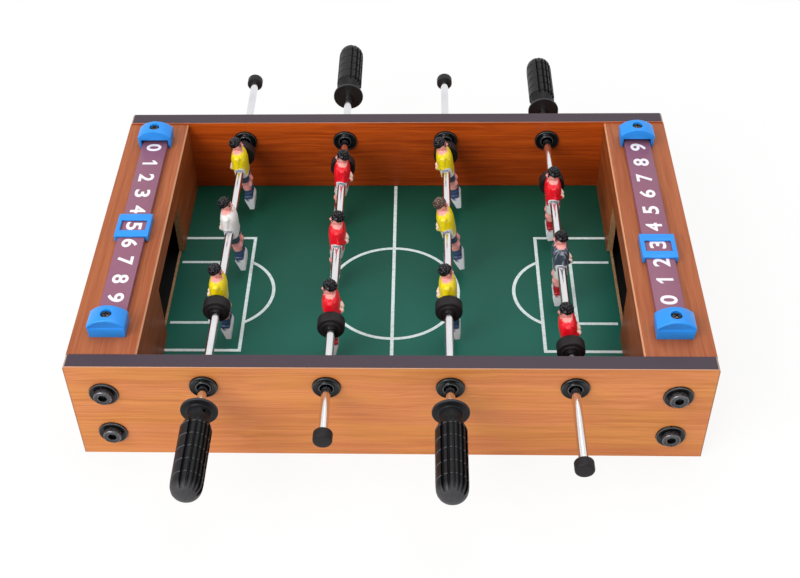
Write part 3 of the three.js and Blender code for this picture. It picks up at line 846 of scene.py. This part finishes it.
def handle_mesh():
    """The moulded grip along -Y, with flutes drawn straight up and down and ring grooves."""
    flutes = [FLUTE_PITCH * (k - (FLUTE_COUNT - 1) / 2) for k in range(FLUTE_COUNT)]
    half = [(x + offset, deep) for x in flutes for offset, deep in FLUTE if abs(x + offset) < 7.2]
    sides = [GRIP_RADIUS * math.sin(math.radians(a)) for a in (62, 68, 75, 82, 90)]
    half = [(-x, 0) for x in reversed(sides)] + half + [(x, 0) for x in sides]
    outline = [(x, deep, 1) for x, deep in half] + [(x, deep, -1) for x, deep in half[::-1][1:-1]]

    def section(y, radius, cut):
        points = []
        for across, deep, side in outline:
            x = across / GRIP_RADIUS * radius
            reach = radius - cut if deep else radius
            points.append((x, y, side * math.sqrt(max(reach ** 2 - x ** 2, 0.0))))
        return points

    rows = [section(-BORE_DEPTH, HANDLE_BORE, 0), section(0.0, HANDLE_BORE, 0)]
    rows += [section(*station) for station in NECK]
    for k in range(RINGS):
        for along, rise in RING_PROFILE:
            radius = GRIP_RADIUS + rise
            rows.append(section(along - RING_START - k * RING_PITCH, radius, radius - GRIP_CORE))
    for t, cut in DOME_STEPS:
        a = t * math.pi / 2
        along = -(HANDLE_LENGTH - DOME) - DOME * math.sin(a)
        depth = (GRIP_RADIUS - GRIP_CORE) * cut
        rows.append(section(along, GRIP_RADIUS * math.cos(a) ** 0.7, depth))
    body = rows_mesh("handle_body", rows, smooth_angle=HANDLE_SMOOTH_ANGLE)
    hole = upright(turned("hole", [(0, 3.5), (1.2, 3.5), (1.2, 9.0), (0, 9.0)], 24))
    hole.transform(spot(0, -4.6 * MM, 0))
    made = carved("handle", body, [hole], 0)
    smooth(made, HANDLE_SMOOTH_ANGLE)
    return made


BUMPER, CAP, HANDLE = bumper_mesh(), cap_mesh(), handle_mesh()


# Players: a field of distances in millimetres, skinned by surface nets. X is the front,
# Z is up, and the rod lies along Y.

def skin(field, low, high, cell):
    """Vertices and quads of the surface where the field changes sign."""
    axes = [np.arange(a, b + cell, cell) for a, b in zip(low, high)]
    value = field(*np.meshgrid(*axes, indexing="ij"))
    shape = tuple(n - 1 for n in value.shape)
    total, hits = np.zeros((3, *shape)), np.zeros(shape)
    steps = np.eye(3, dtype=int)

    def at(corner):
        return value[tuple(slice(c, c + n) for c, n in zip(corner, shape))]

    for corner in np.ndindex(2, 2, 2):
        for axis in range(3):
            if corner[axis]:
                continue
            a, b = at(corner), at(corner + steps[axis])
            cross = (a < 0) != (b < 0)
            share = np.where(cross, a / np.where(cross, a - b, 1), 0)
            for k in range(3):
                total[k] += np.where(cross, corner[k] + (share if k == axis else 0), 0)
            hits += cross
    used = hits > 0
    index = np.full(shape, -1)
    index[used] = np.arange(used.sum())
    vertices = np.array(low) + (np.argwhere(used) + (total[:, used] / hits[used]).T) * cell
    faces = []
    for axis in range(3):
        u, v = steps[(axis + 1) % 3], steps[(axis + 2) % 3]
        first = 1 - steps[axis]
        a = value[tuple(slice(start, -1) for start in first)]
        b = value[tuple(slice(1, None if k == axis else -1) for k in range(3))]
        for way, cross in ((1, (a < 0) & (b >= 0)), (-1, (a >= 0) & (b < 0))):
            spots = np.argwhere(cross) + first
            ring = [index[tuple((spots - back).T)] for back in (u + v, v, 0 * v, u)]
            faces.append(np.stack(ring, axis=1)[:, ::way])
    return vertices, np.concatenate(faces)


def blended(a, b, reach):
    """The union of two fields with a fillet of that reach."""
    share = np.clip(0.5 + 0.5 * (b - a) / reach, 0, 1)
    return b * (1 - share) + a * share - reach * share * (1 - share)


def shared(a, b, reach):
    """Where both fields are, with a rounded edge."""
    return -blended(-a, -b, reach)


def hollowed(a, b, reach):
    """Field a without field b, with a rounded edge."""
    return -blended(-a, b, reach)


def ellipsoid(p, middle, radii):
    q = [(c - m) / r for c, m, r in zip(p, middle, radii)]
    return (np.sqrt(sum(c ** 2 for c in q)) - 1) * min(radii)


def limb(p, start, end, first, last):
    """A tapered capsule between two points."""
    start, end = np.array(start, float), np.array(end, float)
    d = end - start
    t = np.clip(sum((c - s) * v for c, s, v in zip(p, start, d)) / (d @ d), 0, 1)
    gap = np.sqrt(sum((c - s - t * v) ** 2 for c, s, v in zip(p, start, d)))
    return gap - (first + (last - first) * t)


def column(p, levels, corner, middle_y=0.0):
    """A stack of rounded ovals from rows of (z, middle x, half depth, half width)."""
    x, y, z = p
    heights, *rows = (np.array(c, float) for c in zip(*levels))
    middle, depth, width = (np.interp(z, heights, row) for row in rows)
    ring = np.abs((x - middle) / depth) ** corner + np.abs((y - middle_y) / width) ** corner
    side = (ring ** (1 / corner) - 1) * np.minimum(depth, width)
    return np.maximum(side, np.maximum(heights[0] - z, z - heights[-1]))


TORSO = [
    (-4.8, 0.1, 4.5, 8.2), (-2.0, 0.1, 4.7, 8.7), (1.5, 0.1, 4.9, 9.0), (5.5, 0.1, 5.2, 8.7),
    (8.6, 0.1, 4.9, 8.4), (10.6, 0.0, 4.2, 7.8), (12.0, -0.1, 3.3, 6.2), (13.0, -0.2, 2.6, 4.2),
    (13.6, -0.2, 1.6, 2.4),
]
SHORTS = [
    (-10.2, 0.6, 3.5, 3.6), (-8.5, 0.5, 3.9, 3.8), (-6.0, 0.2, 4.1, 3.9), (-3.0, 0.1, 4.1, 3.9),
]
LEG = [
    (-22.5, 1.6, 2.5, 2.5), (-21.0, 1.7, 2.7, 2.6), (-19.6, 1.8, 2.75, 2.65),
    (-18.9, 1.9, 2.6, 2.5), (-18.4, 2.0, 2.15, 2.15), (-17.0, 1.7, 2.5, 2.4),
    (-15.0, 1.5, 2.9, 2.6), (-13.6, 1.9, 3.3, 2.7), (-12.4, 1.9, 3.1, 2.7),
    (-10.5, 1.3, 2.9, 2.8), (-8.0, 0.9, 3.1, 2.9),
]
FOOT = [(3.8, -32.13), (4.9, -25.6), (3.6, -21.4), (-1.2, -21.2), (-1.5, -24.0), (0.7, -32.13)]
LEG_MIDDLE = 3.1
FOOT_HALF_WIDTH = 6.2
ARCH_RADIUS = 3.1
ROD_BORE = 2.52
HAND = (-5.7, 1.7, 0.5)
CHIN = (1.0, 0, 14.9), (2.5, 2.4, 2.1), 0.9
NOSE = (3.75, 0, 16.3), (0.8, 0.65, 0.9), 0.4
EAR = (-0.1, 3.4, 16.6), (0.8, 0.6, 1.2), 0.3


def foot_field(p):
    x, y, z = p
    field = np.abs(y) - FOOT_HALF_WIDTH
    for (x0, z0), (x1, z1) in zip(FOOT, FOOT[1:] + FOOT[:1]):
        length = math.hypot(x1 - x0, z1 - z0)
        plane = ((z1 - z0) * (x - x0) - (x1 - x0) * (z - z0)) / length
        field = shared(field, plane, 0.5)
    return field


def figure(x, y, z):
    """The whole moulded player."""
    side = np.abs(y)
    p = (x, side, z)
    torso = column((x, y, z), TORSO, 2.3)
    flank = np.maximum(np.sqrt(x ** 2 + z ** 2) - ARCH_RADIUS, 7.6 - side)
    below = np.maximum(np.maximum(np.abs(x) - ARCH_RADIUS, z), 7.6 - side)
    torso = hollowed(torso, np.minimum(flank, below), 0.4)
    torso = blended(torso, column(p, SHORTS, 2.3, 3.9), 0.5)
    arm = limb(p, (-0.1, 7.2, 10.3), (-1.3, 7.9, 4.4), 1.75, 1.5)
    arm = blended(arm, limb(p, (-1.3, 7.9, 4.4), (-5.2, 3.2, 1.0), 1.5, 1.05), 0.6)
    arm = blended(arm, ellipsoid(p, HAND, (1.2, 1.6, 1.5)), 0.5)
    sleeve = limb(p, (0.0, 6.9, 10.5), (-0.8, 7.4, 6.6), 2.1, 1.95)
    body = blended(torso, np.minimum(arm, sleeve), 0.6)
    body = blended(body, column(p, LEG, 2.1, LEG_MIDDLE), 0.4)
    body = blended(body, foot_field((x, y, z)), 0.6)
    neck = limb(p, (-0.3, 0, 11.5), (0, 0, 14.5), 2.6, 2.4)
    head = ellipsoid(p, (0.1, 0, 17.2), (3.6, 3.4, 4.2))
    for middle, radii, reach in CHIN, NOSE, EAR:
        head = blended(head, ellipsoid(p, middle, radii), reach)
    head = hollowed(head, ellipsoid(p, (3.8, 1.45, 17.2), (0.7, 0.9, 0.65)), 0.3)
    waves = 0.34 * np.sin(3.4 * x + 1.3 * z) * np.sin(3.3 * y + 0.7 * x)
    waves = waves + 0.16 * np.sin(4.3 * z + 2.2 * y)
    hair = ellipsoid((x, y, z), (-0.45, 0, 18.2), (3.95, 3.85, 3.55)) - waves
    hair = shared(hair, hair_line(x, z), 0.4)
    head = blended(head, hair, 0.15)
    body = blended(body, blended(neck, head, 0.7), 0.6)
    bore = np.sqrt(x ** 2 + z ** 2) - ROD_BORE
    return np.maximum(body, -bore)


def hair_line(x, z):
    """Below zero above the hairline."""
    return (17.2 + 0.5 * x - z) * 0.9


SOFT_EDGE = 0.22


def zones(x, y, z):
    """How far inside each painted zone a point is, in millimetres."""
    side = np.abs(y)
    armhole = np.sqrt(x ** 2 + np.maximum(z, 0) ** 2) - 4.1
    hem = np.where(side > 7.0, np.minimum(z + 3.2, armhole), z + 3.0)
    neck_gap = np.sqrt((x + 0.2) ** 2 + y ** 2) - 3.2
    collar = np.minimum(neck_gap, 0.25 * side + 11.4 - z)
    collar = np.where(z < 11.2, 1.0, np.minimum(np.maximum(collar, 12.4 - z), 1.0))
    collar = np.where(z > 13.4, -1.0, collar)
    vee = np.where(x > 1, 10.2 + 2.2 * side - z, 1.0)
    throat = np.minimum(collar, vee)
    hand_gap = np.sqrt((x - HAND[0]) ** 2 + (side - HAND[1]) ** 2 + (z - HAND[2]) ** 2)
    hands = np.minimum(2.3 - hand_gap, -5.05 - x)
    hands = np.maximum(hands, np.minimum(np.minimum(3.0 - z - 0.9 * (side - 3), -4.2 - x), z + 1.5))
    shirt = np.minimum(np.minimum(hem, 14.5 - z), -hands)
    skin_zone = np.maximum(np.minimum(-SOFT_EDGE * throat, z - 8.0), hands)
    hair = np.minimum(-hair_line(x, z), z - 13.6)
    eye_gap = np.sqrt((side - 2.0) ** 2 + ((z - 16.9) * 1.2) ** 2)
    eye = np.where(x > 1.4, 0.8 - eye_gap, -1)
    brow = np.where(x > 1.4, 0.3 - np.abs(z - 18.1 + 0.12 * (side - 1.9) ** 2), -1)
    brow = np.minimum(brow, 1.2 - np.abs(side - 1.9))
    mouth = np.where(x > 2.0, np.minimum(0.26 - np.abs(z - 14.6), 0.95 - side), -1)
    return {
        "shirt": shirt,
        "skin": skin_zone,
        "hair": hair,
        "shorts": np.minimum(-4.4 - z, z + 8.7),
        "knee": np.minimum(-8.7 - z, z + 16.6),
        "sock": np.minimum(-16.6 - z, z + 22.8),
        "eye": np.maximum(eye, brow),
        "mouth": mouth,
    }


FIGURE_BOX = (-8.4, -9.9, -33.2), (6.4, 9.9, 22.9)
SKIN_CELL = 0.32
KEPT_SHARE = 0.34


def player_mesh():
    vertices, faces = skin(figure, *FIGURE_BOX, SKIN_CELL)
    mesh = bpy.data.meshes.new("player")
    mesh.from_pydata((vertices * MM).tolist(), [], faces.tolist())
    holder = linked("holder", mesh)
    holder.modifiers.new("thin", "DECIMATE").ratio = KEPT_SHARE
    made = applied(holder)
    smooth(made, 60)
    points = np.array([v.co for v in made.vertices]) / MM
    for name, value in zones(*points.T).items():
        attribute = made.attributes.new(name, "FLOAT", "POINT")
        attribute.data.foreach_set("value", np.clip(value, -1, 1).astype(np.float32))
    return made


PLAYER = player_mesh()


for n in RODS:
    body = f"rod_{n}"
    bar, handle, cap = f"{body}_bar", f"{body}_handle", f"{body}_end_cap"
    flipped = reversed_rod(n)
    axis = centre(bar)

    def end_of(node, handle_side=True):
        """The end of the node on the handle's side, or on the cap's side, on the rod's axis."""
        return spot(axis.x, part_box(node)[handle_side == flipped].y, axis.z)

    low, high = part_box(bar)
    piece(f"{bar}_drawn", bar_mesh((high.y - low.y) / MM), end_of(bar) @ half_turn(flipped), body,
          CHROME, bar)
    roll = turn(HANDLE_ROLLS[n], "Y") @ half_turn(flipped)
    piece(f"{body}_grip", HANDLE.copy(), end_of(handle, False) @ roll, body,
          BLACK_PLASTIC, handle)
    piece(f"{body}_cap_moulded", CAP.copy(), end_of(cap) @ half_turn(flipped), f"{body}_slide",
          BLACK_RUBBER, cap)
    for where in ("by_handle", "by_cap"):
        node = f"{body}_bumper_{where}"
        by_cap = where == "by_cap"
        matrix = end_of(node, by_cap) @ half_turn(by_cap == flipped)
        piece(f"{node}_moulded", BUMPER.copy(), matrix, body, BLACK_RUBBER, node)
    for k, shirt in enumerate(TEAMS[n]):
        node = f"{body}_player_{k + 1}_{shirt}"
        kick = turn(KICKS[n][k] * (1 if flipped else -1), "Y")
        matrix = spot(axis.x, centre(node).y, axis.z) @ kick @ half_turn(flipped)
        finish = PLAYER_FINISHES[shirt, "brown" if (n, k) == (3, 1) else "black"]
        piece(f"{node}_figure", PLAYER.copy(), matrix, body, finish, node)


# Score rails and sliders

DIGIT_PITCH = 15.18
DIGIT_HEIGHT, DIGIT_WIDTH = 9.4, 7.2
ONE_WIDTH = 0.56 * DIGIT_WIDTH
FIRST_DIGIT = {"left": 74.3, "right": 73.5}
STRIP_LOW, STRIP_HIGH = 0.3, 3.3
INK_RISE = 0.02
FLAGGED_ONE = [(0.3, 0), (0.56, 0), (0.56, 1), (0.36, 1), (0.0, 0.76), (0.0, 0.58), (0.3, 0.74)]


def digit_mesh(digit):
    """One digit, thin and closed, in its own plane."""
    name = f"digit_{digit}"
    if digit == 1:
        return rows_mesh(name, [[(x / MM, y / MM, z / MM) for x, y in FLAGGED_ONE]
                                for z in (-INK_RISE, INK_RISE)])
    curve = bpy.data.curves.new(name, "FONT")
    curve.body = str(digit)
    curve.offset = 0.024
    curve.extrude = INK_RISE
    curve.resolution_u = 6
    return applied(linked("holder", curve))


def numbers(end, sign):
    """The digits 0 to 9 of a strip in one mesh, about the middle of the field."""
    joined = bmesh.new()
    for k in range(10):
        digit = k if end == "left" else 9 - k
        mesh = digit_mesh(digit)
        points = np.array([v.co for v in mesh.vertices])
        low, high = points.min(0), points.max(0)
        middle = (low + high) / 2
        width = (ONE_WIDTH if digit == 1 else DIGIT_WIDTH) / (high[0] - low[0])
        height = DIGIT_HEIGHT / (high[1] - low[1])
        y = FIRST_DIGIT[end] - DIGIT_PITCH * k
        for v in mesh.vertices:
            across = (v.co.x - middle[0]) * width
            up = (v.co.y - middle[1]) * height
            v.co = (-sign * up * MM, (y + sign * across) * MM, (STRIP_HIGH + v.co.z * 2) * MM)
        joined.from_mesh(mesh)
    return tidied(bpy.data.meshes.new(f"numbers_{end}"), joined, 30)


CLAMP_HEIGHT, CLAMP_STEP = 12.6, 6.4
SCREW_SOCKET = 3.1


def arch(half, side, top, steps=20):
    """Points of a round top from +X to -X."""
    rise = top - side
    radius = (half ** 2 + rise ** 2) / (2 * rise)
    swing = math.asin(half / radius)
    turns = [swing * (1 - 2 * k / steps) for k in range(steps + 1)]
    return [(radius * math.sin(a), top - radius + radius * math.cos(a)) for a in turns]


def clamp_mesh():
    """A clamp cap: an arched block along Y with a stepped outer face, open for the strip at +Y."""
    profile = [(-10.0, 0.0), (10.0, 0.0)] + arch(10.5, 7.9, CLAMP_HEIGHT)
    shares = [max(0.0, (z - 3.0) / (CLAMP_HEIGHT - 3.0)) for x, z in profile]
    body = rows_mesh("clamp_body", [
        [(x * (1 - 0.02 * drop), y, z - drop * share) for (x, z), share in zip(profile, shares)]
        for y, drop in ((-6.0, 0.5), (-5.6, 0.12), (-5.0, 0.0), (6.0, 0.0))
    ])
    hollow = block("clamp_hollow", (-8.5, 8.5), (-1.0, 8.0), (-1.0, 6.0))
    socket = upright(turned("clamp_socket", [
        (0, 9.4), (SCREW_SOCKET, 9.4), (SCREW_SOCKET, 15.0), (0, 15.0),
    ], 32))
    face = [(-9.4, CLAMP_STEP), (9.4, CLAMP_STEP)] + arch(9.4, 7.4, CLAMP_HEIGHT - 1.3)
    recess = rows_mesh("clamp_recess", [[(x, y, z) for x, z in face] for y in (-7.0, -5.6)])
    return carved("clamp", body, [hollow, socket, recess], 0.3)


def screw_mesh():
    """A pan head with a cross recess, its seat at z = 0."""
    profile = [(0, -1.0), (2.8, -1.0), (2.9, 0.4), (2.7, 1.0), (1.9, 1.6), (0.9, 1.9), (0, 1.95)]
    slots = [block("slot", (-a, a), (-b, b), (0.5, 3.0)) for a, b in ((1.7, 0.36), (0.36, 1.7))]
    return carved("screw", upright(turned("screw_head", profile, 40)), slots, 0.08)


def slider_mesh():
    """A window frame that straddles the strip."""
    body = block("slider_body", (-10.0, 10.0), (-10.1, 10.1), (0.3, 4.7))
    channel = block("slider_channel", (-8.25, 8.25), (-12, 12), (-1, 3.5))
    window = block("slider_window", (-7.5, 7.5), (-4.5, 4.5), (-1, 8))
    return carved("slider", body, [channel, window], 0.4)


CLAMP, SCREW, SLIDER = clamp_mesh(), screw_mesh(), slider_mesh()

for end, sign in ENDS.items():
    rail, slider = f"score_rail_{end}", f"score_slider_{end}"
    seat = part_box(f"goal_cover_{end}")[1].z
    mid = centre(rail)
    clamp_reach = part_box(rail)[1].y - mid.y - 6 * MM
    strip_end = clamp_reach / MM
    strip = block(f"strip_{end}", (-8, 8), (-strip_end, strip_end), (STRIP_LOW, STRIP_HIGH))
    piece(f"score_strip_{end}", softened_solid(strip, 0.3), spot(mid.x, mid.y, seat), "cabinet",
          RAIL_MAUVE, rail)
    place = spot(mid.x, centre("playfield_board").y, seat)
    piece(f"score_numbers_{end}", numbers(end, sign), place, "cabinet", NUMBER_WHITE)
    for where, way in (("near", 1), ("far", -1)):
        clamp_at = spot(mid.x, mid.y - way * clamp_reach, seat + 0.1 * MM)
        piece(f"score_clamp_{end}_{where}", CLAMP.copy(), clamp_at @ half_turn(way < 0), "cabinet",
              BLUE_PLASTIC)
        screw_at = clamp_at @ spot(0, 0, 10.4 * MM) @ turn(25 * way + 20 * sign, "Z")
        piece(f"score_screw_{end}_{where}", SCREW.copy(), screw_at, "cabinet",
              SCREW_STEEL)
    place = spot(mid.x, centre(slider).y, seat)
    piece(f"score_window_{end}", SLIDER.copy(), place, slider, BLUE_PLASTIC, slider)


# Camera at the photograph's place, floor and light

FOCAL_PIXELS, IMAGE_WIDTH, IMAGE_HEIGHT = 1267.5, 800, 578
PRINCIPAL_POINT = (370.1, 270.8)
CAMERA_PLACE = (0.018237, -0.574791, 0.559102)
CAMERA_RIGHT = (0.999134, 0.031497, -0.027197)
CAMERA_UP = (-0.00152, 0.680742, 0.732522)
CAMERA_BACK = (0.041587, -0.731846, 0.6802)

camera_data = bpy.data.cameras.new("camera")
camera_data.sensor_width = 36
camera_data.lens = FOCAL_PIXELS * camera_data.sensor_width / IMAGE_WIDTH
camera_data.shift_x = (IMAGE_WIDTH / 2 - PRINCIPAL_POINT[0]) / IMAGE_WIDTH
camera_data.shift_y = (PRINCIPAL_POINT[1] - IMAGE_HEIGHT / 2) / IMAGE_WIDTH
camera = linked("camera", camera_data)
basis = Matrix((CAMERA_RIGHT, CAMERA_UP, CAMERA_BACK)).transposed().to_4x4()
camera.matrix_world = Matrix.Translation(CAMERA_PLACE) @ basis
bpy.context.scene.camera = camera


FLOOR_GLOW = 0.86
FLOOR_REACH = 6.0
SKY_STRENGTH = 0.55


def white_for_camera(tree):
    """1 for the rays from the camera and in gloss and glass, which see white, and 0 for others."""
    path = tree.add("LightPath").outputs
    seen = tree.calc("MAXIMUM", path["Is Camera Ray"], path["Is Glossy Ray"])
    return tree.calc("MAXIMUM", seen, path["Is Transmission Ray"])


def floor():
    """A pale floor that fades to white but keeps the object's shadow."""
    f = Finish("floor", Base_Color=(0.9, 0.9, 0.9, 1), Roughness=0.9)
    glow = f.add("Emission", {"Color": PLAIN})
    f.show("Material Output", f.times(white_for_camera(f), FLOOR_GLOW), f.shader, glow)
    r = FLOOR_REACH
    corners = [(-r, -r, 0), (r, -r, 0), (r, r, 0), (-r, r, 0)]
    mesh = bpy.data.meshes.new("floor")
    mesh.from_pydata(corners, [], [(0, 1, 2, 3)])
    mesh.materials.append(f.material)
    linked("floor", mesh)


def world():
    """Soft light from all sides, and white for the camera."""
    made = bpy.data.worlds.new("studio")
    bpy.context.scene.world = made
    tree = Tree(made)
    soft = tree.nodes["Background"]
    soft.inputs["Color"].default_value = PLAIN
    soft.inputs["Strength"].default_value = SKY_STRENGTH
    white = tree.add("Background", {"Color": PLAIN, "Strength": 1.0})
    tree.show("World Output", white_for_camera(tree), soft, white)


def lamp(name, place, aim, size, power):
    data = bpy.data.lights.new(name, "AREA")
    data.size = size
    data.energy = power
    obj = linked(name, data)
    obj.location = place
    obj.rotation_euler = (Vector(aim) - Vector(place)).to_track_quat("-Z", "Y").to_euler()


floor()
world()
lamp("key", (-1.0, -1.15, 1.3), (0, 0, 0), 1.3, 27)
lamp("top", (0.2, 0.3, 1.6), (0, 0, 0), 1.2, 9)
bpy.context.scene.view_settings.view_transform = "Standard"

low, high = cad_box
